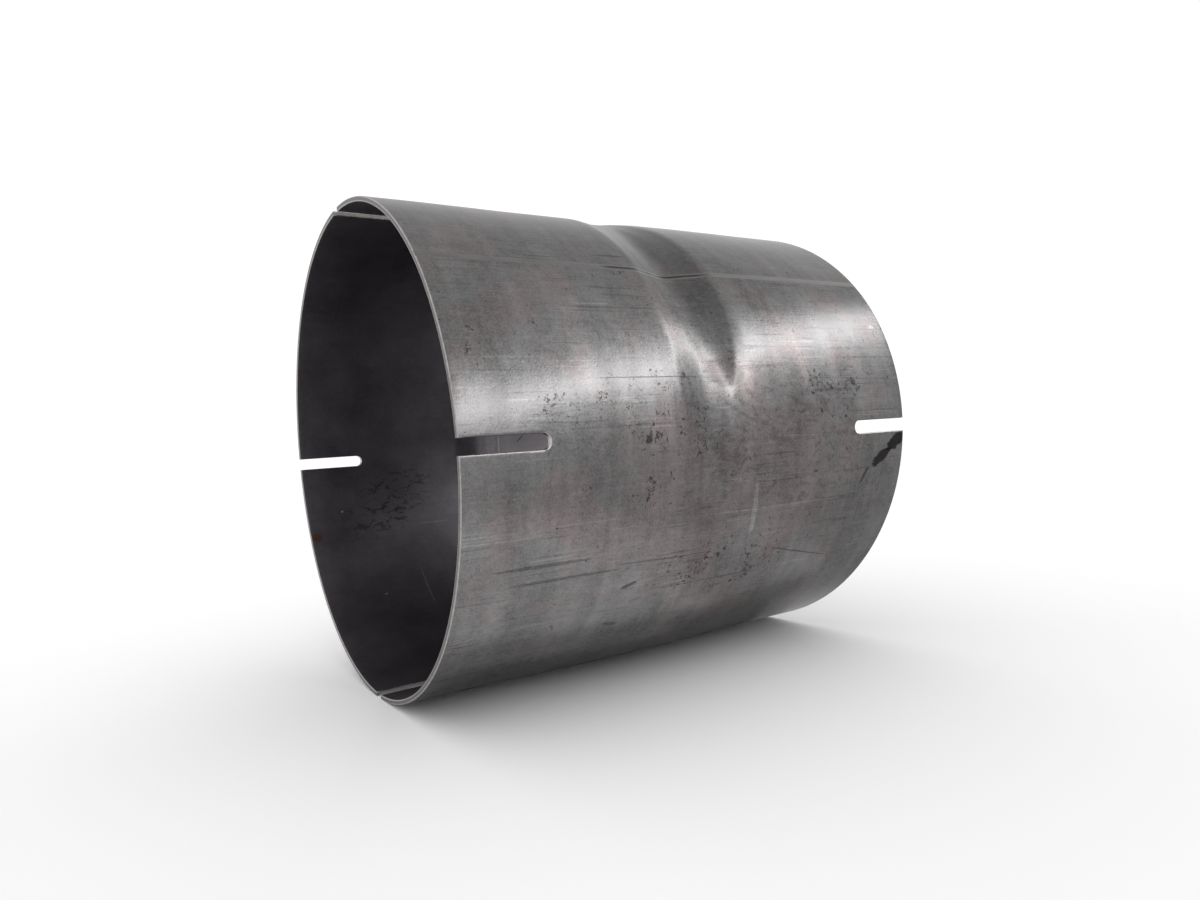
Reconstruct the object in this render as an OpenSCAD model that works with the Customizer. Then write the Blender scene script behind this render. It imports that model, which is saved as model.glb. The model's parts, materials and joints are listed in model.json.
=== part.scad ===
// Slotted steel coupler that joins two exhaust pipes of one size end to end.
// The axis lies along X and the origin is the middle of the bore.
// Angles round the tube are counted in degrees from the front slot, which faces -Y, upwards over +Z.

/* [Tube] */
// Inside diameter, which takes the end of each pipe
bore_d = 152.4; // [127:0.1:160]
// Wall thickness
wall = 1.5; // [1.2:0.1:2.5]
// Length from end to end
tube_length = 165.1; // [150:0.1:200]

/* [Slots] */
// Number of slots round each end
slot_count = 4; // [2:1:6]
// Length of a slot, its round end included
slot_length = 25; // [15:0.5:35]
// Width of a slot
slot_width = 4.2; // [3:0.1:6]
// How far the right end's slots sit below the left end's, in degrees
slot_twist = 1.4; // [0:0.1:3]

/* [Pipe stop] */
// Depth of the shallow waist at mid-length
waist_depth = 0.6; // [0.3:0.1:1]
// Width of the waist along the tube
waist_width = 28.4; // [20:0.1:36]
// Depth of each pressed dent
dent_depth = 2.2; // [1.5:0.1:4]
// Width of a dent along the tube
dent_width = 27; // [20:1:34]
// Angle round the tube from a dent's middle to its tip
dent_half_angle = 32; // [25:1:40]
// Angle of the front dent's middle above the front slot
dent_angle = 42; // [38:1:50]

/* [Seam] */
// Angle of the weld above the front slot
seam_angle = 38.5; // [30:0.5:45]
// Width of the weld
seam_width = 2; // [1:0.1:4]

/* [Hidden] */
$fn = 144;
bore_r = bore_d / 2;
outer_r = bore_r + wall;
clearance = 4; // how far a cutter runs past what it cuts
steel = [0.46, 0.44, 0.43];
weld_steel = [0.36, 0.34, 0.33];

// The radius of the arc of a chord's length and height.
function arc_radius(chord, height) = (chord * chord / 4 + height * height) / (2 * height);

// The press tools are rings whose nose is an arc. A wall that the tool pushes in follows the same
// arc on both faces, so the bore's tool is the same ring with a nose fatter by the wall.
waist_nose_r = arc_radius(waist_width, waist_depth);
waist_ring_r = outer_r - waist_depth + waist_nose_r;

// A dent's floor is a flatter arc than the tube's own, and the two meet at the dent's tips.
dent_chord = 2 * outer_r * sin(dent_half_angle);
dent_floor_height = outer_r * (1 - cos(dent_half_angle)) - dent_depth;
dent_floor_r = arc_radius(dent_chord, dent_floor_height);
dent_ring_offset = dent_floor_r - (outer_r - dent_depth);
dent_nose_r = arc_radius(dent_width, dent_depth);
dent_ring_r = dent_floor_r + dent_nose_r;

module round_bar(radius, bar_length) {
    rotate([0, 90, 0])
        cylinder(h = bar_length, r = radius, center = true);
}

// Turns a shape that faces -Y upwards round the tube's axis.
module at_angle(angle) {
    rotate([-angle, 0, 0])
        children();
}

module ring(ring_r, nose_r) {
    rotate([0, 90, 0])
        rotate_extrude()
            translate([ring_r, 0])
                circle(r = nose_r);
}

// A bar of the given radius after the press has shut on it.
module pressed_bar(radius, bar_length, nose_growth) {
    difference() {
        round_bar(radius, bar_length);
        ring(waist_ring_r, waist_nose_r + nose_growth);
        for (side = [0, 180])
            at_angle(dent_angle + side)
                translate([0, dent_ring_offset, 0])
                    ring(dent_ring_r, dent_nose_r + nose_growth);
    }
}

module tube_wall() {
    difference() {
        pressed_bar(outer_r, tube_length, 0);
        pressed_bar(bore_r, tube_length + 2 * clearance, wall);
    }
}

// A slot's cutter at the left end, through the wall that faces -Y.
module slot_cutter() {
    cutter_depth = wall + 2 * clearance;
    straight_length = slot_length - slot_width / 2 + clearance;
    translate([-tube_length / 2 - clearance, -outer_r - clearance, -slot_width / 2])
        cube([straight_length, cutter_depth, slot_width]);
    translate([-tube_length / 2 + slot_length - slot_width / 2, -outer_r - clearance, 0])
        rotate([-90, 0, 0])
            cylinder(h = cutter_depth, d = slot_width);
}

module slots() {
    for (i = [0 : slot_count - 1]) {
        at_angle(i * 360 / slot_count)
            slot_cutter();
        at_angle(i * 360 / slot_count - slot_twist)
            mirror([1, 0, 0])
                slot_cutter();
    }
}

// The gap between the rolled sheet's edges, which the weld fills.
module seam_gap() {
    at_angle(seam_angle)
        translate([-tube_length / 2 - clearance, -outer_r - clearance, -seam_width / 2])
            cube([tube_length + 2 * clearance, outer_r / 3, seam_width]);
}

module sleeve() {
    color(steel)
        difference() {
            tube_wall();
            slots();
            seam_gap();
        }
}

module seam_weld() {
    color(weld_steel)
        intersection() {
            tube_wall();
            seam_gap();
        }
}

sleeve();
seam_weld();
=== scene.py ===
"""Slotted exhaust pipe coupler: the looks of the rolled sleeve and its seam weld."""

import json
import math

import bmesh
import bpy
from mathutils import Euler, Matrix, Vector, noise


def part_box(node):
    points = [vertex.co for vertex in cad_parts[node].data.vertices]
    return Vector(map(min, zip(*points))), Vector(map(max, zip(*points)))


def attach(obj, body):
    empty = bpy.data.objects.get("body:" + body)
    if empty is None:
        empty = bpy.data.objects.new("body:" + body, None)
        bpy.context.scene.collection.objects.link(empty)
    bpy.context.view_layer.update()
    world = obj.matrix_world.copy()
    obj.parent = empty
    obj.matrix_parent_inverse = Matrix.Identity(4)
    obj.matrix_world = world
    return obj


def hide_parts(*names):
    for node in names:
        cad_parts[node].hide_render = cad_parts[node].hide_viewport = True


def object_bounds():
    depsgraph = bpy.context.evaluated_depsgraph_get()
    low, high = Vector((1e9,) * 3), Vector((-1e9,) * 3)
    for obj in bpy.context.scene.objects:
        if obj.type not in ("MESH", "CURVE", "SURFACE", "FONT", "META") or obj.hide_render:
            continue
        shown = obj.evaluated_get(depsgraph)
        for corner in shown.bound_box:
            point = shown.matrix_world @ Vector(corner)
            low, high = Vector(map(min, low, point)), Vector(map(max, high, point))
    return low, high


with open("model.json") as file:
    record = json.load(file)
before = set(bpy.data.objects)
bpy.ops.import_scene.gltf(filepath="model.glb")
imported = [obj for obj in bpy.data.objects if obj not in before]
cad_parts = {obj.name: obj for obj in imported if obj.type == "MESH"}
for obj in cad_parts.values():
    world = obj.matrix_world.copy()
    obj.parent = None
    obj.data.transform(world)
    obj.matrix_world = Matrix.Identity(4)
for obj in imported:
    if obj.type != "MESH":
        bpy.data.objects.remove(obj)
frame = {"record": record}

CAD_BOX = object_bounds()
MM = 0.001

# ---------------------------------------------------------------- sizes, in millimetres and degrees
# Angles round the tube are counted from the front slot, which faces -Y, upwards over +Z.


def mount_radius(name):
    for mount in frame["record"]["mounts"]:
        if mount["name"] == name:
            return mount["dims"]["r_mm"]
    raise ValueError("no mount named " + name)


OUTER_R = mount_radius("left_clamp_seat")
BORE_R = mount_radius("left_pipe_bore")
WALL = OUTER_R - BORE_R
TUBE_LOW, TUBE_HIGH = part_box("sleeve")
HALF_LENGTH = (TUBE_HIGH.x - TUBE_LOW.x) / 2 / MM

SLOT_ANGLES = (0, 90, 180, 270)
SLOT_LENGTH = 25.0
SLOT_WIDTH = 4.2
SLOT_TWIST = 1.4

TWIST_REACH = 45.0  # the twist comes in from this far left of mid-length to this far right of it
TWIST_SEAM_NONE = 8.0  # there is none this near the seam, and all of it from the next angle on
TWIST_SEAM_FULL = 26.0

# Left, valley and right are where a pressed V starts, bottoms out and ends along the tube. Its
# shoulders and its bottom say how far those corners are rounded, as a share of the V's wall.
WAIST_DEPTH = 1.1
WAIST_LEFT = -13.9
WAIST_VALLEY = -4.5
WAIST_RIGHT = 14.0
WAIST_LEFT_SHOULDER = 0.06
WAIST_RIGHT_SHOULDER = 0.08
WAIST_BOTTOM = 0.3
WAIST_FULL = 38.0  # the waist is whole up to this angle from a dent's middle, and gone by the next
WAIST_GONE = 88.0

DENT_ANGLES = (42.0, 222.0)
DENT_HALF_ANGLE = 35.8
DENT_DEPTH = 2.3
DENT_LEFT = -14.0
DENT_VALLEY = -3.0
DENT_RIGHT = 13.5
DENT_LEFT_SHOULDER = 0.30
DENT_RIGHT_SHOULDER = 0.08
DENT_BOTTOM = 0.35
DENT_TIP_X = 5.0
DENT_TIP_HALF_WIDTH = 0.3
# Each of the V's three lines bends to the tip from this share of the half angle, with this power.
DENT_LEFT_BEND = (0.58, 1.15)
DENT_VALLEY_BEND = (0.1, 1.6)
DENT_RIGHT_BEND = (0.25, 1.7)

BULGE = 2.0  # how far pressing the dents pushed the wall out half way between them
BULGE_REACH = 42.0
FLATS = 0.16  # height of the shallow flats that rolling left, and of the finer ones on them
FINE_FLATS = 0.04
FLAT_SIZE = 34.0

SEAM_ANGLE = 38.5
SEAM_WIDTH = 2.0
WELD_CROWN = 0.006
RIPPLE_PITCH = 1.3
CRACK_DEPTH = 0.05
INNER_RELIEF = 0.6  # the weld's relief inside the tube, as a share of its relief outside

EDGE = 0.24  # width of the broken edge along every cut
EDGE_CORNER = EDGE * (1 - math.sqrt(0.5))  # how far the middle of the broken edge is from both faces
EDGE_FADE = 0.16  # width of the strip beside it, where its bare metal fades into the cut face
RIM_BARE = 0.10  # how bare the metal is, from 0 to 1, on the two end faces, their edges and the weld
RIM_EDGE_BARE = 0.60
RIM_CORNER_BARE = 0.35
WELD_BARE = 0.55

# Materials' places in each piece's list.
OUTSIDE, INSIDE, CUT = 0, 1, 2
WELD, WELD_END = 0, 1


def smooth_step(low, high, value):
    t = min(1.0, max(0.0, (value - low) / (high - low)))
    return t * t * (3 - 2 * t)


def angle_between(a, b):
    return (a - b + 180.0) % 360.0 - 180.0


# ---------------------------------------------------------------- the pressed tube's surface


def soft_corner(value, roundness):
    """max(value, 0) with its corner rounded over plus or minus roundness."""
    if value <= -roundness:
        return 0.0
    if value >= roundness:
        return value
    return (value + roundness) ** 2 / (4 * roundness)


def soft_low(a, b, roundness):
    """min(a, b) with its corner rounded."""
    return a - soft_corner(a - b, roundness)


def waist_depth(x, angle):
    """The shallow V that runs round mid-length through the dents and fades half way between them."""
    reach = min(abs(angle_between(angle, middle)) for middle in DENT_ANGLES)
    strength = 1 - smooth_step(WAIST_FULL, WAIST_GONE, reach)
    left = soft_corner((x - WAIST_LEFT) / (WAIST_VALLEY - WAIST_LEFT), WAIST_LEFT_SHOULDER)
    right = soft_corner((WAIST_RIGHT - x) / (WAIST_RIGHT - WAIST_VALLEY), WAIST_RIGHT_SHOULDER)
    return WAIST_DEPTH * strength * soft_low(left, right, WAIST_BOTTOM)


def taper(v, start, power):
    """0 up to start, then a curve that reaches 1 at v = 1."""
    return max(0.0, (v - start) / (1 - start)) ** power


def dent_frame(x, angle, middle):
    """How strong a dent is at that angle, and how far x is down its left and its right wall.

    Strength is 1 in the dent's middle. Each wall counts from 0 at its edge to 1 at the valley.
    """
    v = abs(angle_between(angle, middle)) / DENT_HALF_ANGLE
    if v >= 1:
        return 0.0, 0.0, 0.0
    tip_left = DENT_TIP_X - DENT_TIP_HALF_WIDTH
    tip_right = DENT_TIP_X + DENT_TIP_HALF_WIDTH
    left_edge = DENT_LEFT + (tip_left - DENT_LEFT) * taper(v, *DENT_LEFT_BEND)
    right_edge = DENT_RIGHT + (tip_right - DENT_RIGHT) * taper(v, *DENT_RIGHT_BEND)
    valley = DENT_VALLEY + (DENT_TIP_X - DENT_VALLEY) * taper(v, *DENT_VALLEY_BEND)
    left = (x - left_edge) / (valley - left_edge)
    right = (right_edge - x) / (right_edge - valley)
    return 1 - v * v, left, right


def dent_depth(x, angle, middle):
    """One press dent: a V across the tube that narrows to a point at both ends."""
    fade, left, right = dent_frame(x, angle, middle)
    if fade <= 0:
        return 0.0
    wall_left = soft_corner(left, DENT_LEFT_SHOULDER)
    wall_right = soft_corner(right, DENT_RIGHT_SHOULDER)
    return DENT_DEPTH * fade * soft_low(wall_left, wall_right, DENT_BOTTOM)


def press_rub(x, angle):
    """1 on a dent's floor and right wall, which get painted shade, and 0 outside the dents."""
    dent_shade_share = 0.0
    for middle in DENT_ANGLES:
        fade, left, right = dent_frame(x, angle, middle)
        side = smooth_step(0.75, 1.6, left) * smooth_step(-0.04, 0.16, right)
        dent_shade_share = max(dent_shade_share, side * smooth_step(0.0, 0.35, fade))
    return dent_shade_share


def tube_radius(x, angle):
    """The outside radius of the finished sleeve at x, at that angle."""
    turn = math.radians(angle)
    dents = max(dent_depth(x, angle, middle) for middle in DENT_ANGLES)
    # the waist all but fades where a dent is deeper
    waist = waist_depth(x, angle) * (1 - 0.75 * min(1.0, dents / 1.2))
    sideways = max(0.0, -math.cos(2 * (turn - math.radians(DENT_ANGLES[0]))))
    bulge = BULGE * math.exp(-((x / BULGE_REACH) ** 2)) * sideways * sideways
    where = Vector((x / FLAT_SIZE, 1.9 * math.cos(turn), 1.9 * math.sin(turn)))
    flats = FLATS * noise.noise(where) + FINE_FLATS * noise.noise(where * 2.7 + Vector((5, 1, 2)))
    return OUTER_R - dents - waist + bulge + flats


def tube_point(x, angle, depth):
    """The point at that depth under the outside, in metres."""
    radius = tube_radius(x, angle) - depth
    turn = math.radians(angle)
    return Vector((x, -radius * math.cos(turn), radius * math.sin(turn))) * MM


# ---------------------------------------------------------------- the sheet's grid


def spread(low, high, step):
    """Even stops from low up to, but not including, high."""
    count = max(1, math.ceil((high - low) / step))
    return [low + (high - low) * i / count for i in range(count)]


def along_stops():
    """Stops along the tube, with one at each slot's end and closer ones where the shape is tight."""
    plain_step, slot_end_step, dent_step = 1.8, 0.7, 0.8
    slot_end = HALF_LENGTH - SLOT_LENGTH
    margin = 5.0
    pressed = 20.0
    marks = (
        (-HALF_LENGTH, plain_step),
        (-slot_end - margin, slot_end_step),
        (-slot_end, slot_end_step),
        (-slot_end + margin, plain_step),
        (-pressed, dent_step),
        (pressed, plain_step),
        (slot_end - margin, slot_end_step),
        (slot_end, slot_end_step),
        (slot_end + margin, plain_step),
        (HALF_LENGTH, 0),
    )
    stops = []
    for (low, step), (high, _) in zip(marks, marks[1:]):
        stops += spread(low, high, step)
    return stops + [HALF_LENGTH]


def degrees(arc):
    return math.degrees(arc / OUTER_R)


def round_stops():
    """Stops round the tube from one edge of the sheet to the other, closer across each slot."""
    first = SEAM_ANGLE + degrees(SEAM_WIDTH / 2)
    last = SEAM_ANGLE + 360 - degrees(SEAM_WIDTH / 2)
    plain_step, slot_step = degrees(1.9), degrees(0.8)
    half = degrees(SLOT_WIDTH / 2)
    margin = degrees(3.0)
    arc_steps = 12  # across a slot, as the round end's half circle is cut
    stops = []
    reached = first
    for slot in (90, 180, 270, 360):
        stops += spread(reached, slot - half - margin, plain_step)
        stops += spread(slot - half - margin, slot - half, slot_step)
        stops += [slot - half * math.cos(math.pi * i / arc_steps) for i in range(arc_steps + 1)]
        stops += spread(slot + half, slot + half + margin, slot_step)[1:]
        reached = slot + half + margin
    stops += spread(reached, last, plain_step)
    return stops + [last]


def nearest_slot(angle):
    return min((abs(angle_between(angle, slot)), slot) for slot in SLOT_ANGLES)[1]


def slot_profile(x, angle):
    """Moves a grid point near a slot's square end so that the end becomes round.

    The move fades beside the slot, along the slot and past its end, so that no cell folds.
    """
    beside, along_slot, past_end = 3.2, 12.0, 5.5
    half = SLOT_WIDTH / 2
    off = math.radians(abs(angle_between(angle, nearest_slot(angle)))) * OUTER_R
    inside = min(off, half)
    pull = half - math.sqrt(half * half - inside * inside)
    pull *= 1 - smooth_step(half, half + beside, off)
    from_end = abs(x) - (HALF_LENGTH - SLOT_LENGTH)
    reach = along_slot if from_end > 0 else past_end
    pull *= 1 - smooth_step(0, reach, abs(from_end))
    return x + math.copysign(pull, x)


def twisted(x, angle):
    """The right end's slots sit a little lower than the left end's. The seam stays straight."""
    share = smooth_step(-TWIST_REACH, TWIST_REACH, x)
    share *= smooth_step(TWIST_SEAM_NONE, TWIST_SEAM_FULL, abs(angle_between(angle, SEAM_ANGLE)))
    return angle - SLOT_TWIST * share


class Sheet:
    """The rolled sheet as a grid of (x, angle) points, with the slots left open."""

    def __init__(self):
        self.xs = along_stops()
        self.angles = round_stops()
        self.points = {}
        self.cells = set()
        for i, x in enumerate(self.xs):
            for j, angle in enumerate(self.angles):
                moved = slot_profile(x, angle)
                self.points[i, j] = (moved, twisted(moved, angle))
        for i in range(len(self.xs) - 1):
            for j in range(len(self.angles) - 1):
                if not self.in_slot(i, j):
                    self.cells.add((i, j))

    def in_slot(self, i, j):
        x = (self.xs[i] + self.xs[i + 1]) / 2
        angle = (self.angles[j] + self.angles[j + 1]) / 2
        off = abs(angle_between(angle, nearest_slot(angle)))
        return off < degrees(SLOT_WIDTH / 2) and abs(x) > HALF_LENGTH - SLOT_LENGTH

    def border(self):
        """Each border step as (start, end), with the sheet on its left seen from outside."""
        steps = []
        for i, j in self.cells:
            corners = [(i, j), (i + 1, j), (i + 1, j + 1), (i, j + 1)]
            sides = [(i, j - 1), (i + 1, j), (i, j + 1), (i - 1, j)]
            for k in range(4):
                if sides[k] not in self.cells:
                    steps.append((corners[k], corners[(k + 1) % 4]))
        return steps

    def flat(self, key):
        x, angle = self.points[key]
        return Vector((x, math.radians(angle) * OUTER_R))

    def insets(self):
        """How far each border point moves in for one unit of broken edge, mitred at corners."""
        normals = {}
        last = len(self.angles) - 1
        for start, end in self.border():
            run = self.flat(end) - self.flat(start)
            normal = Vector((-run.y, run.x)).normalized()
            at_seam = start[1] == end[1] and start[1] in (0, last)
            for key in (start, end):
                normals.setdefault(key, []).append((normal, 0.0 if at_seam else 1.0))
        result = {}
        for key, pair in normals.items():
            (n1, w1), (n2, w2) = pair[0], pair[-1]
            cross = n1.x * n2.y - n1.y * n2.x
            if abs(cross) < 0.2:
                result[key] = (n1 + n2).normalized() * (w1 + w2) / 2
            else:
                result[key] = Vector((w1 * n2.y - w2 * n1.y, w2 * n1.x - w1 * n2.x)) / cross
        return result


def build_sleeve():
    """The sleeve as one closed mesh: outside skin, inside skin, and the cut faces between them."""
    sheet = Sheet()
    insets = sheet.insets()
    mesh = bmesh.new()
    # the share of painted shade that darkens each point of a dent's floor and right wall
    press = mesh.verts.layers.float.new("press")
    # how bare the metal is, and on the slots' cuts painted light and shade by which way they face
    bare_and_sheen = mesh.verts.layers.float.new("bare_and_sheen")

    def vertex(key, inset, depth):
        x, angle = sheet.points[key]
        move = insets.get(key, Vector((0, 0))) * inset
        vert = mesh.verts.new(tube_point(x + move.x, angle + degrees(move.y), depth))
        vert[press] = press_rub(x, angle)
        return vert

    outside = {key: vertex(key, EDGE, 0.0) for key in sheet.points if used(sheet, key)}
    inside = {key: vertex(key, EDGE, WALL) for key in outside}
    for i, j in sheet.cells:
        keys = [(i, j), (i + 1, j), (i + 1, j + 1), (i, j + 1)]
        mesh.faces.new([outside[k] for k in keys]).material_index = OUTSIDE
        mesh.faces.new([inside[k] for k in reversed(keys)]).material_index = INSIDE
    # a cut's stops from outside to inside: how far in from the cut, how deep, and 1 on its edges
    profile = (
        (EDGE_CORNER, EDGE_CORNER, 1.0),
        (0.0, EDGE, 1.0),
        (0.0, EDGE + EDGE_FADE, 0.0),
        (0.0, WALL - EDGE - EDGE_FADE, 0.0),
        (0.0, WALL - EDGE, 1.0),
        (EDGE_CORNER, WALL - EDGE_CORNER, 1.0),
    )
    rings = {}
    for key, inset in insets.items():
        # painted light and shade on a slot's cut, by which way it faces: brightest at its round end,
        # and brighter on its lower side than on its upper
        slot_bare_and_sheen = min(1.0, 0.36 - 0.30 * inset.y + 0.64 * abs(inset.x))
        on_rim = key[0] in (0, len(sheet.xs) - 1)
        middle = []
        for inward, depth, edge in profile:
            vert = vertex(key, inward, depth)
            on_rim_bare = RIM_BARE + (RIM_EDGE_BARE - RIM_BARE) * edge
            vert[bare_and_sheen] = on_rim_bare if on_rim else slot_bare_and_sheen * (0.7 + 0.3 * edge)
            middle.append(vert)
        rings[key] = [outside[key], *middle, inside[key]]
        outside[key][bare_and_sheen] = inside[key][bare_and_sheen] = RIM_CORNER_BARE if on_rim else slot_bare_and_sheen
    for start, end in sheet.border():
        for k in range(len(profile) + 1):
            corners = [rings[start][k], rings[start][k + 1], rings[end][k + 1], rings[end][k]]
            mesh.faces.new(corners).material_index = CUT
    return finish_mesh(mesh, "sleeve_skin")


def used(sheet, key):
    i, j = key
    around = ((i, j), (i - 1, j), (i, j - 1), (i - 1, j - 1))
    return any(cell in sheet.cells for cell in around)


def seam_line(x):
    """How open the seam's fine crack looks: clear beside and in the dent, faint elsewhere."""
    faint = 0.06
    clear = smooth_step(-28, -23, x) * (1 - smooth_step(8, 16, x))
    return faint + (1 - faint) * clear


def weld_relief(x, across):
    """The weld's height over the sheet: rolled flat, with one fine crack along its middle."""
    t = across / (SEAM_WIDTH / 2)
    crown = WELD_CROWN * (1 - t * t)
    ripple = math.sin(2 * math.pi * x / RIPPLE_PITCH + 3 * t * t)
    crack = CRACK_DEPTH * seam_line(x) * (1 - smooth_step(0.08, 0.6, abs(t)))
    return crown * (1 + ripple) - crack


def build_weld():
    """The weld that closes the seam, as wide as the gap and flush with the sheet at its edges."""
    mesh = bmesh.new()
    step = 0.5
    xs = spread(-HALF_LENGTH + EDGE, HALF_LENGTH - EDGE, step) + [HALF_LENGTH - EDGE]
    half = (0.1, 0.2, 0.3, 0.42, 0.7, 1)
    shares = [-t for t in reversed(half)] + [0] + list(half)
    across = [SEAM_WIDTH / 2 * t for t in shares]
    crack = mesh.verts.layers.float.new("crack")
    bare_and_sheen = mesh.verts.layers.float.new("bare_and_sheen")
    # each row's place along the tube, and how far the broken edge sinks it
    columns = [(-HALF_LENGTH, EDGE), (-HALF_LENGTH + EDGE_CORNER, EDGE_CORNER)]
    columns += [(x, 0.0) for x in xs]
    columns += [(HALF_LENGTH - EDGE_CORNER, EDGE_CORNER), (HALF_LENGTH, EDGE)]

    def row(x, sunk, inner):
        points = []
        for s in across:
            angle = SEAM_ANGLE + degrees(s)
            relief = weld_relief(x, s) if abs(x) < HALF_LENGTH - EDGE else 0.0
            depth = WALL - sunk + relief * INNER_RELIEF if inner else sunk - relief
            vert = mesh.verts.new(tube_point(x, angle, depth))
            vert[crack] = seam_line(x) * (1 - smooth_step(0.25, 0.7, abs(s) / (SEAM_WIDTH / 2)))
            vert[bare_and_sheen] = WELD_BARE
            points.append(vert)
        return points

    outside = [row(x, sunk, False) for x, sunk in columns]
    inside = [row(x, sunk, True) for x, sunk in columns]
    for i in range(len(columns) - 1):
        for k in range(len(across) - 1):
            mesh.faces.new([outside[i][k], outside[i + 1][k], outside[i + 1][k + 1], outside[i][k + 1]])
            mesh.faces.new([inside[i][k + 1], inside[i + 1][k + 1], inside[i + 1][k], inside[i][k]])
    # the rows at each place along the tube, from outside to inside, with two more on the end faces
    walls = [[outer_row, inner_row] for outer_row, inner_row in zip(outside, inside)]
    for i in (0, len(columns) - 1):
        for depth in (EDGE + EDGE_FADE, WALL - EDGE - EDGE_FADE):
            turns = [SEAM_ANGLE + degrees(s) for s in across]
            middle = [mesh.verts.new(tube_point(columns[i][0], turn, depth)) for turn in turns]
            for vert in middle:
                vert[bare_and_sheen] = RIM_BARE
            walls[i].insert(-1, middle)
        for upper, lower in zip(walls[i], walls[i][1:]):
            for k in range(len(across) - 1):
                mesh.faces.new([upper[k], upper[k + 1], lower[k + 1], lower[k]])
    for wall, next_wall in zip(walls, walls[1:]):
        for k in (0, len(across) - 1):
            mesh.faces.new([line[k] for line in wall] + [line[k] for line in reversed(next_wall)])
    for face in mesh.faces:
        at_end = max(abs(vert.co.x) for vert in face.verts) > (HALF_LENGTH - EDGE_CORNER / 2) * MM
        face.material_index = WELD_END if at_end else WELD
    return finish_mesh(mesh, "seam_bead")


def finish_mesh(mesh, name):
    bmesh.ops.recalc_face_normals(mesh, faces=mesh.faces)
    data = bpy.data.meshes.new(name)
    mesh.to_mesh(data)
    mesh.free()
    data.shade_smooth()
    data.set_sharp_from_angle(angle=math.radians(50))
    piece = bpy.data.objects.new(name, data)
    bpy.context.scene.collection.objects.link(piece)
    weighted = piece.modifiers.new("flat cuts", "WEIGHTED_NORMAL")
    weighted.keep_sharp = True
    weighted.weight = 80
    return piece


# ---------------------------------------------------------------- materials

# Marks on the outside: x, angle, half length, half height, tilt, raggedness in mm, and how much of
# the steel's tone is left in the mark. Above 1 the mark is brighter than the steel.
OUTER_MARKS = (
    (78.5, -5.4, 7.5, 3.2, 26.0, 0.9, 0.12),  # greasy smear under the right slot
    (71.5, -8.9, 8.0, 2.7, 31.0, 1.0, 0.18),
    (63.5, -13.2, 5.0, 1.0, 60.0, 0.8, 0.45),
    (53.3, 1.4, 0.9, 0.9, 0.0, 0.5, 0.35),  # single dark spots
    (42.2, 2.9, 0.9, 1.3, 0.0, 0.5, 0.50),
    (39.5, -10.9, 1.8, 0.6, 0.0, 0.6, 0.50),
    (3.0, -5.0, 9.0, 13.0, 0.0, 3.0, 0.80),  # heat tint under the dent
    (4.0, 12.5, 11.0, 7.0, 0.0, 1.5, 0.70),  # painted shade round the dent's tip, which dims its highlight
    (-22.0, 11.5, 33.0, 0.30, 0.0, 0.5, 0.55),  # long fine scratch on the highlight
    (21.0, -18.0, 40.0, 0.45, 0.0, 0.6, 1.35),
    (-58.0, -24.0, 22.0, 0.9, 0.0, 0.8, 0.62),
    (-50.0, -27.5, 28.0, 0.6, 0.0, 0.6, 0.60),
    (-20.0, -26.5, 26.0, 0.4, -1.0, 0.5, 0.65),
    (41.0, -31.5, 25.0, 0.45, -14.5, 0.7, 0.50),  # crack-like scratch
    (-29.0, -32.0, 4.0, 1.0, 20.0, 0.6, 0.45),
    (-30.0, -43.0, 5.0, 1.2, -15.0, 0.8, 0.60),
    (12.0, -36.0, 1.0, 0.8, 0.0, 0.3, 0.25),
    (14.0, -18.0, 1.6, 13.0, 0.0, 0.9, 1.40),  # lighter band below the dent's right edge
    (-21.0, 42.5, 9.0, 0.7, 2.0, 0.6, 0.60),  # rolling marks beside the seam
    (28.0, 38.0, 16.0, 0.4, -2.0, 0.5, 0.60),
    (44.0, 36.5, 14.0, 0.35, 0.0, 0.5, 0.65),
    (77.0, 24.0, 2.0, 1.2, 0.0, 0.6, 1.50),
)

# The same for the inside.
INNER_MARKS = (
    (7.3, 177.0, 0.6, 11.0, 0.0, 0.4, 1.6),  # painted highlight on the ridge of the far wall's waist, seen through the front slot
    # painted light on the far wall's waist beside that ridge
    (3.0, 177.0, 4.0, 12.0, 0.0, 1.0, 1.25),
    (19.0, 176.0, 4.0, 0.5, -40.0, 0.6, 0.45),
    (-41.2, 224.3, 0.7, 14.0, 0.0, 0.4, 1.5),  # curved scuff on the lower far wall
    (-30.0, 202.0, 11.0, 0.4, 0.0, 0.4, 1.45),
    (-68.4, 195.5, 0.7, 0.6, 0.0, 0.2, 5.0),  # specks of bright metal
    (-59.0, 224.8, 0.9, 0.4, 0.0, 0.2, 4.0),
)


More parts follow.
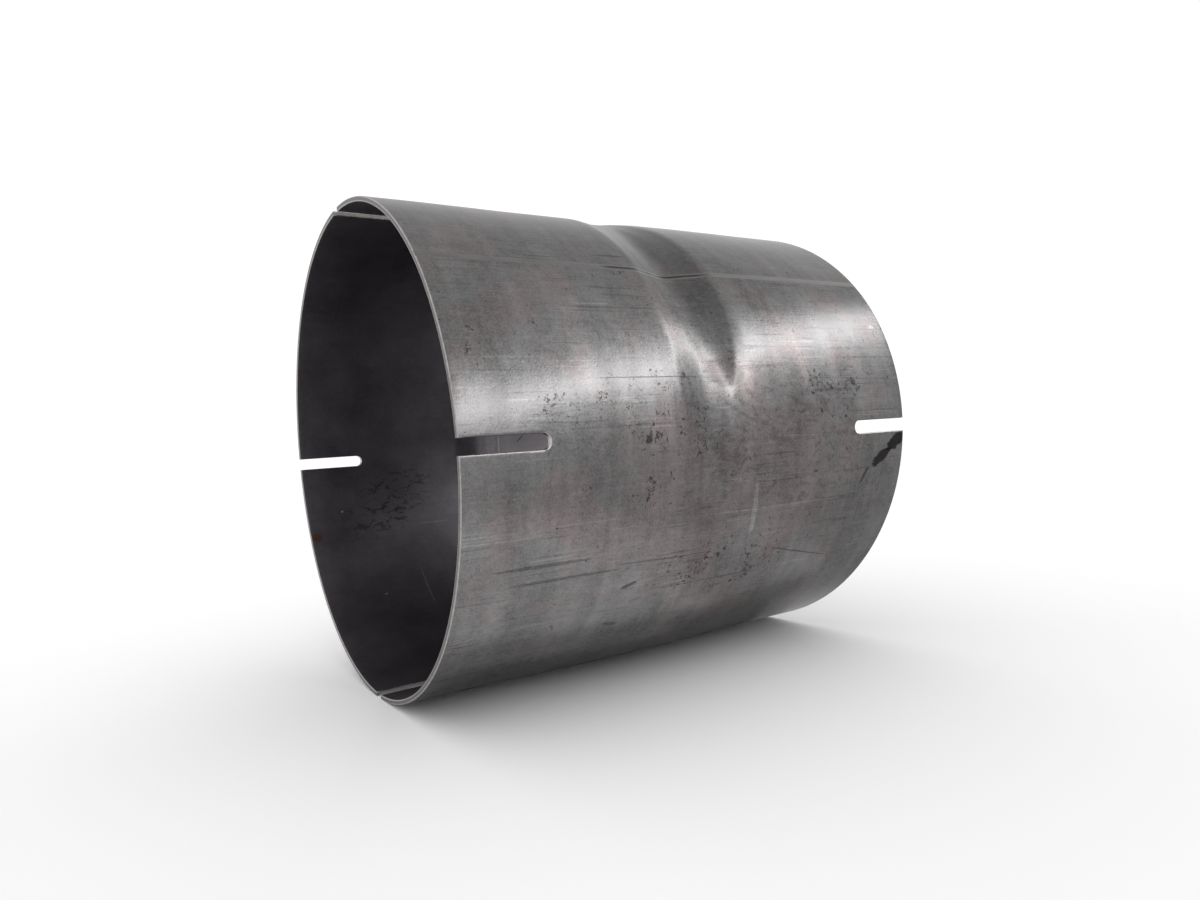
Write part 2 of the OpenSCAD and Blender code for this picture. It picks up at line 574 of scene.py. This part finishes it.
class Shader:
    """A Principled material and short calls that add nodes to it."""

    def __init__(self, name):
        self.material = bpy.data.materials.new(name)
        self.material.use_nodes = True
        self.tree = self.material.node_tree
        self.bsdf = self.tree.nodes["Principled BSDF"]
        self.place = self.tree.nodes.new("ShaderNodeTexCoord").outputs["Object"]

    def link(self, value, socket):
        if isinstance(value, bpy.types.NodeSocket):
            self.tree.links.new(value, socket)
        else:
            socket.default_value = value

    def math(self, operation, a, b):
        node = self.tree.nodes.new("ShaderNodeMath")
        node.operation = operation
        self.link(a, node.inputs[0])
        self.link(b, node.inputs[1])
        return node.outputs[0]

    def remap(self, value, low, high, to_low=0.0, to_high=1.0):
        node = self.tree.nodes.new("ShaderNodeMapRange")
        node.interpolation_type = "SMOOTHSTEP"
        self.link(value, node.inputs["Value"])
        node.inputs["From Min"].default_value = low
        node.inputs["From Max"].default_value = high
        node.inputs["To Min"].default_value = to_low
        node.inputs["To Max"].default_value = to_high
        return node.outputs[0]

    def noise(self, size_mm, detail, rough, seed, twist=0.0):
        """Noise whose grain is size_mm along x, y and z."""
        mapping = self.tree.nodes.new("ShaderNodeMapping")
        self.link(self.place, mapping.inputs["Vector"])
        mapping.inputs["Scale"].default_value = [1 / (s * MM) for s in size_mm]
        mapping.inputs["Location"].default_value = (seed, seed * 1.7, seed * 0.6)
        node = self.tree.nodes.new("ShaderNodeTexNoise")
        self.link(mapping.outputs[0], node.inputs["Vector"])
        node.inputs["Scale"].default_value = 1.0
        node.inputs["Detail"].default_value = detail
        node.inputs["Roughness"].default_value = rough
        node.inputs["Distortion"].default_value = twist
        return node.outputs["Fac"]

    def spot(self, x, angle, length, height, tilt=0.0, soft=0.6):
        """1 inside an oval patch on the tube and 0 outside. Sizes are half sizes in millimetres."""
        turn = math.radians(angle)
        middle = Vector((x, -OUTER_R * math.cos(turn), OUTER_R * math.sin(turn))) * MM
        mapping = self.tree.nodes.new("ShaderNodeMapping")
        mapping.vector_type = "TEXTURE"
        basis = Matrix.Rotation(-turn, 3, "X") @ Matrix.Rotation(math.radians(-tilt), 3, "Y")
        mapping.inputs["Location"].default_value = middle
        mapping.inputs["Rotation"].default_value = basis.to_euler()
        mapping.inputs["Scale"].default_value = (length * MM, 12 * MM, height * MM)
        self.link(self.place, mapping.inputs["Vector"])
        size = self.tree.nodes.new("ShaderNodeVectorMath")
        size.operation = "LENGTH"
        self.link(mapping.outputs[0], size.inputs[0])
        return self.remap(size.outputs["Value"], 1.0, 1.0 - soft)

    def weigh(self, parts, middle=1.0):
        """middle, raised or lowered by each noise in proportion to its amount."""
        total = middle * (1 - sum(amount for _, amount in parts) / 2)
        for value, amount in parts:
            node = self.tree.nodes.new("ShaderNodeMath")
            node.operation = "MULTIPLY_ADD"
            self.link(value, node.inputs[0])
            node.inputs[1].default_value = amount * middle
            self.link(total, node.inputs[2])
            total = node.outputs[0]
        return total

    def scale(self, colour, factor):
        node = self.tree.nodes.new("ShaderNodeVectorMath")
        node.operation = "SCALE"
        if isinstance(colour, bpy.types.NodeSocket):
            self.link(colour, node.inputs[0])
        else:
            node.inputs[0].default_value = colour[:3]
        self.link(factor, node.inputs["Scale"])
        return node.outputs[0]

    def broken_spot(self, x, angle, length, height, tilt, grain_mm):
        """A spot whose edge is broken up by noise of the given grain."""
        ragged = self.noise((grain_mm * 3, grain_mm, grain_mm), 3, 0.6, x * 0.37)
        inside = self.spot(x, angle, length, height, tilt, 1.0)
        return self.remap(self.math("ADD", inside, ragged), 0.62, 0.95)

    def toned(self, shade, where, left):
        """The shade, with only that share of it left where the second value is 1."""
        return self.math("MULTIPLY", shade, self.remap(where, 0, 1, 1.0, left))

    def marked(self, shade, marks):
        for *place, left in marks:
            shade = self.toned(shade, self.broken_spot(*place), left)
        return shade

    def pits(self):
        """Small ragged dark pits, thick in a few places and thin elsewhere."""
        thick = self.spot(-29, 1, 9, 9, 0, 0.8)
        groups = (
            (-24, 11, 22, 6),
            (-48, 6, 24, 8),
            (-12, 0, 26, 12),
            (50, 9, 24, 13),
            (-28, -12, 10, 8),
            (10, -30, 40, 14),
        )
        for x, angle, length, height in groups:
            group = self.math("MULTIPLY", self.spot(x, angle, length, height), 0.75)
            thick = self.math("MAXIMUM", thick, group)
        fine = self.noise((1.3, 1.3, 1.3), 3, 0.75, 4.4)
        broad = self.noise((6, 6, 6), 3, 0.6, 2.8)
        flecks = self.weigh(((fine, 0.65), (broad, 0.35), (thick, 0.085)), 0.5)
        return self.remap(flecks, 0.533, 0.560)

    def stains(self):
        """Blotches a few millimetres across, mostly right of the dent."""
        blotches = self.noise((6, 4, 4), 4, 0.68, 12.3, 1.2)
        where = self.weigh(((blotches, 1.0), (self.spot(30, -3, 72, 40, 0, 0.7), 0.16)), 0.5)
        return self.remap(where, 0.53, 0.60)

    def scratches(self, seed):
        """Fine scratches along the tube, in loose groups."""
        lines = self.noise((34, 0.55, 0.55), 2, 0.5, seed)
        groups = self.noise((22, 9, 9), 2, 0.5, seed + 2)
        return self.remap(self.weigh(((lines, 0.7), (groups, 0.3)), 0.5), 0.545, 0.580)

    def attribute(self, name):
        node = self.tree.nodes.new("ShaderNodeAttribute")
        node.attribute_name = name
        return node.outputs["Fac"]

    def mix(self, share, a, b):
        node = self.tree.nodes.new("ShaderNodeMix")
        node.data_type = "RGBA"
        self.link(share, node.inputs["Factor"])
        self.link(a, node.inputs["A"])
        self.link(b, node.inputs["B"])
        return node.outputs["Result"]

    def bump(self, height, distance_mm):
        node = self.tree.nodes.new("ShaderNodeBump")
        node.inputs["Strength"].default_value = 1.0
        node.inputs["Distance"].default_value = distance_mm * MM
        self.link(height, node.inputs["Height"])
        return node.outputs["Normal"]


def steel_outside():
    """Mill steel as rolled and handled: cloudy, streaked, scratched, pitted and stained, with painted
    shade in the dents.
    """
    s = Shader("mill_steel_outside")
    s.bsdf.inputs["Metallic"].default_value = 1.0
    s.bsdf.inputs["Specular Tint"].default_value = (0.70, 0.70, 0.70, 1)
    cloud = s.noise((26, 26, 26), 7, 0.68, 3.1)
    tint = s.noise((18, 18, 18), 4, 0.6, 7.7)
    bands = s.noise((5, 45, 45), 3, 0.5, 1.2)
    ring_streaks = s.noise((0.9, 26, 26), 4, 0.6, 1.7)
    axial_streaks = s.noise((60, 1.3, 1.3), 5, 0.65, 5.2)
    mottle = s.noise((2.4, 2.4, 2.4), 4, 0.7, 8.4)
    grain = s.noise((0.55, 0.55, 0.55), 2, 0.6, 2.2)
    dent_shade_share = s.attribute("press")

    parts = (
        (cloud, 1.2),
        (bands, 0.6),
        (axial_streaks, 0.32),
        (mottle, 0.6),
        (grain, 0.85),
    )
    shade = s.weigh(parts)
    # painted shade: the dents' floors and right walls are darkened
    shade = s.toned(shade, dent_shade_share, 0.62)
    shade = s.marked(shade, OUTER_MARKS)
    stains = s.stains()
    shade = s.toned(shade, stains, 0.76)
    shade = s.toned(shade, s.scratches(3.9), 0.72)
    shade = s.toned(shade, s.scratches(11.3), 1.25)
    shade = s.toned(shade, s.pits(), 0.35)
    warm = s.math("ADD", tint, s.math("MULTIPLY", s.spot(0, -14, 95, 30), 0.14))
    tone = s.mix(s.remap(warm, 0.44, 0.72), (0.1235, 0.1212, 0.1215, 1), (0.138, 0.121, 0.121, 1))
    tone = s.mix(s.math("MULTIPLY", stains, 0.6), tone, (0.140, 0.120, 0.117, 1))
    s.link(s.scale(tone, shade), s.bsdf.inputs["Base Color"])

    rough = s.weigh(((cloud, 0.25), (mottle, 0.35), (grain, 0.30)), 0.288)
    s.link(rough, s.bsdf.inputs["Roughness"])
    relief = s.weigh(((grain, 0.5), (ring_streaks, 0.15), (axial_streaks, 0.25), (mottle, 0.7)), 1.0)
    s.link(s.bump(relief, 0.035), s.bsdf.inputs["Normal"])
    return s.material


def steel_inside():
    """The same steel inside, duller, with flecks of scale and one spot of rust."""
    s = Shader("mill_steel_inside")
    s.bsdf.inputs["Metallic"].default_value = 1.0
    cloud = s.noise((24, 24, 24), 7, 0.65, 9.1)
    grain = s.noise((0.8, 0.8, 0.8), 3, 0.6, 4.0)
    axial_streaks = s.noise((60, 2.2, 2.2), 4, 0.6, 3.3)
    flecks = s.noise((5.0, 2.4, 2.4), 5, 0.72, 6.1, 1.0)
    shade = s.weigh(((cloud, 1.1), (grain, 0.4), (axial_streaks, 0.15)))
    fleck = s.math("MULTIPLY", s.remap(flecks, 0.52, 0.57), s.spot(-47, 194, 34, 18, -30, 0.8))
    # the inner marks include painted light on the far wall's waist
    shade = s.marked(s.toned(shade, fleck, 0.4), INNER_MARKS)
    tone = s.scale((0.124, 0.115, 0.126, 1), shade)
    rust = s.math("MULTIPLY", s.spot(-80, 203, 2.6, 2.2), s.remap(grain, 0.35, 0.55))
    s.link(s.mix(rust, tone, (0.16, 0.05, 0.03, 1)), s.bsdf.inputs["Base Color"])
    s.link(s.weigh(((cloud, 0.3), (grain, 0.2)), 0.42), s.bsdf.inputs["Roughness"])
    s.link(s.bump(s.weigh(((grain, 0.6), (flecks, 0.6)), 1.0), 0.04), s.bsdf.inputs["Normal"])
    return s.material


def steel_cut():
    """The sheet's cut faces, from dull to bright by how bare the metal is, and on the slots' cuts also
    by painted light and shade.
    """
    s = Shader("mill_steel_cut")
    s.bsdf.inputs["Metallic"].default_value = 1.0
    nicks = s.noise((1.6, 1.6, 1.6), 4, 0.6, 6.0)
    # bare metal, and on the slots' cuts painted light and shade, take the tone from dark to bright
    tone = s.mix(s.attribute("bare_and_sheen"), (0.085, 0.080, 0.078, 1), (0.54, 0.52, 0.51, 1))
    s.link(s.scale(tone, s.weigh(((nicks, 1.2),))), s.bsdf.inputs["Base Color"])
    s.link(s.remap(nicks, 0.3, 0.7, 0.34, 0.46), s.bsdf.inputs["Roughness"])
    s.link(s.bump(nicks, 0.10), s.bsdf.inputs["Normal"])
    return s.material


def weld_metal():
    """The rolled weld, with its fine dark crack."""
    s = Shader("weld_metal")
    s.bsdf.inputs["Metallic"].default_value = 1.0
    cloud = s.noise((9, 1.2, 1.2), 4, 0.6, 2.4)
    grain = s.noise((0.5, 0.5, 0.5), 3, 0.6, 1.0)
    tone = s.scale((0.118, 0.111, 0.110, 1), s.weigh(((cloud, 0.8), (grain, 0.4))))
    s.link(s.mix(s.attribute("crack"), tone, (0.018, 0.016, 0.016, 1)), s.bsdf.inputs["Base Color"])
    s.link(s.weigh(((cloud, 0.3), (grain, 0.3)), 0.31), s.bsdf.inputs["Roughness"])
    s.link(s.bump(grain, 0.02), s.bsdf.inputs["Normal"])
    return s.material


# ---------------------------------------------------------------- stage


def add_floor():
    """A pale floor, wide enough to have no edge in view, under the tube's lowest line."""
    half_width = 30.0
    mesh = bmesh.new()
    bmesh.ops.create_grid(mesh, x_segments=8, y_segments=8, size=half_width)
    bmesh.ops.translate(mesh, verts=mesh.verts, vec=(0, 0, CAD_BOX[0].z))
    data = bpy.data.meshes.new("floor")
    mesh.to_mesh(data)
    mesh.free()
    floor = bpy.data.objects.new("floor", data)
    bpy.context.scene.collection.objects.link(floor)
    s = Shader("pale_floor")
    s.bsdf.inputs["Base Color"].default_value = (0.94, 0.94, 0.94, 1)
    s.bsdf.inputs["Roughness"].default_value = 0.9
    s.bsdf.inputs["Specular IOR Level"].default_value = 0.1
    data.materials.append(s.material)


def add_panel(name, middle, back, along, length, width, radiance, receivers):
    """A flat light that shines away from back, with its length along the given direction, in metres."""
    lamp = bpy.data.lights.new(name, "AREA")
    lamp.shape = "RECTANGLE"
    lamp.size = length
    lamp.size_y = width
    lamp.energy = radiance * math.pi * length * width
    back = Vector(back).normalized()
    side = Vector(along)
    side = (side - back * side.dot(back)).normalized()
    up = back.cross(side)
    panel = bpy.data.objects.new(name, lamp)
    panel.matrix_world = Matrix.Translation(middle) @ Matrix((side, up, back)).transposed().to_4x4()
    panel.visible_camera = False
    panel.light_linking.receiver_collection = receivers
    bpy.context.scene.collection.objects.link(panel)


def add_panels(pieces):
    """The panels light the steel only, so that they leave the tube's shadow on the floor alone."""
    lit = bpy.data.collections.new("lit by the panels")
    for piece in pieces:
        lit.objects.link(piece)
    # far lights, which face the middle of the tube: the strip makes the long highlight
    far_lights = (
        ("side_strip", (1.6, -1.81, 1.083), (0, 3.0, 0.03), 3.2, 0.158, 18.5),
        ("far_panel", (1.6, 0.65, 1.1), (0, 1, 0), 1.9, 0.6, 0.28),
        ("back_panel", (0.94, 1.5, 1.77), (0, 1, 0), 1.2, 1.2, 0.12),
    )
    for name, middle, along, length, width, radiance in far_lights:
        add_panel(name, middle, middle, along, length, width, radiance, lit)
    # cards lying just over the floor, which brighten the tube's lower side
    cards = (
        ("front_card", -0.035, -0.1125, 0.12, 0.115, 0.75),
        ("middle_card", 0.050, -0.091, 0.09, 0.07, 0.4),
        ("near_card", -0.045, -0.0675, 0.11, 0.055, 0.2),
        ("end_card", 0.088, -0.024, 0.05, 0.04, 0.22),
    )
    for name, x, y, length, width, radiance in cards:
        middle = (x, y, CAD_BOX[0].z + MM)
        add_panel(name, middle, (0, 0, -1), (1, 0, 0), length, width, radiance, lit)


def add_world():
    world = bpy.data.worlds.new("studio")
    world.use_nodes = True
    background = world.node_tree.nodes["Background"]
    background.inputs["Color"].default_value = (1, 1, 1, 1)
    background.inputs["Strength"].default_value = 1.1
    bpy.context.scene.world = world


def add_camera():
    """A short lens close to the left end, rolled a little, with the tube low and left of its axis."""
    place = Vector((-2.008, -3.084, -0.042)) * OUTER_R * MM
    heading, pitch, roll = math.radians(30.5), math.radians(-3.75), math.radians(-4.29)
    shift = 0.04583
    camera = bpy.data.cameras.new("camera")
    camera.lens = 22.97
    camera.sensor_width = 36.0
    camera.shift_x = shift
    camera.shift_y = shift
    camera.clip_start = 0.01
    camera.clip_end = 100
    holder = bpy.data.objects.new("camera", camera)
    turn = Euler((math.pi / 2 + pitch, 0, -heading)).to_matrix() @ Matrix.Rotation(roll, 3, "Z")
    holder.matrix_world = Matrix.Translation(place) @ turn.to_4x4()
    bpy.context.scene.collection.objects.link(holder)
    bpy.context.scene.camera = holder


def main():
    cut = steel_cut()
    sleeve = build_sleeve()
    for material in (steel_outside(), steel_inside(), cut):
        sleeve.data.materials.append(material)
    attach(sleeve, "root")
    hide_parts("sleeve")

    weld = build_weld()
    for material in (weld_metal(), cut):
        weld.data.materials.append(material)
    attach(weld, "root")
    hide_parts("seam_weld")

    add_floor()
    add_world()
    add_panels((sleeve, weld))
    add_camera()
    bpy.context.scene.view_settings.view_transform = "Standard"


main()
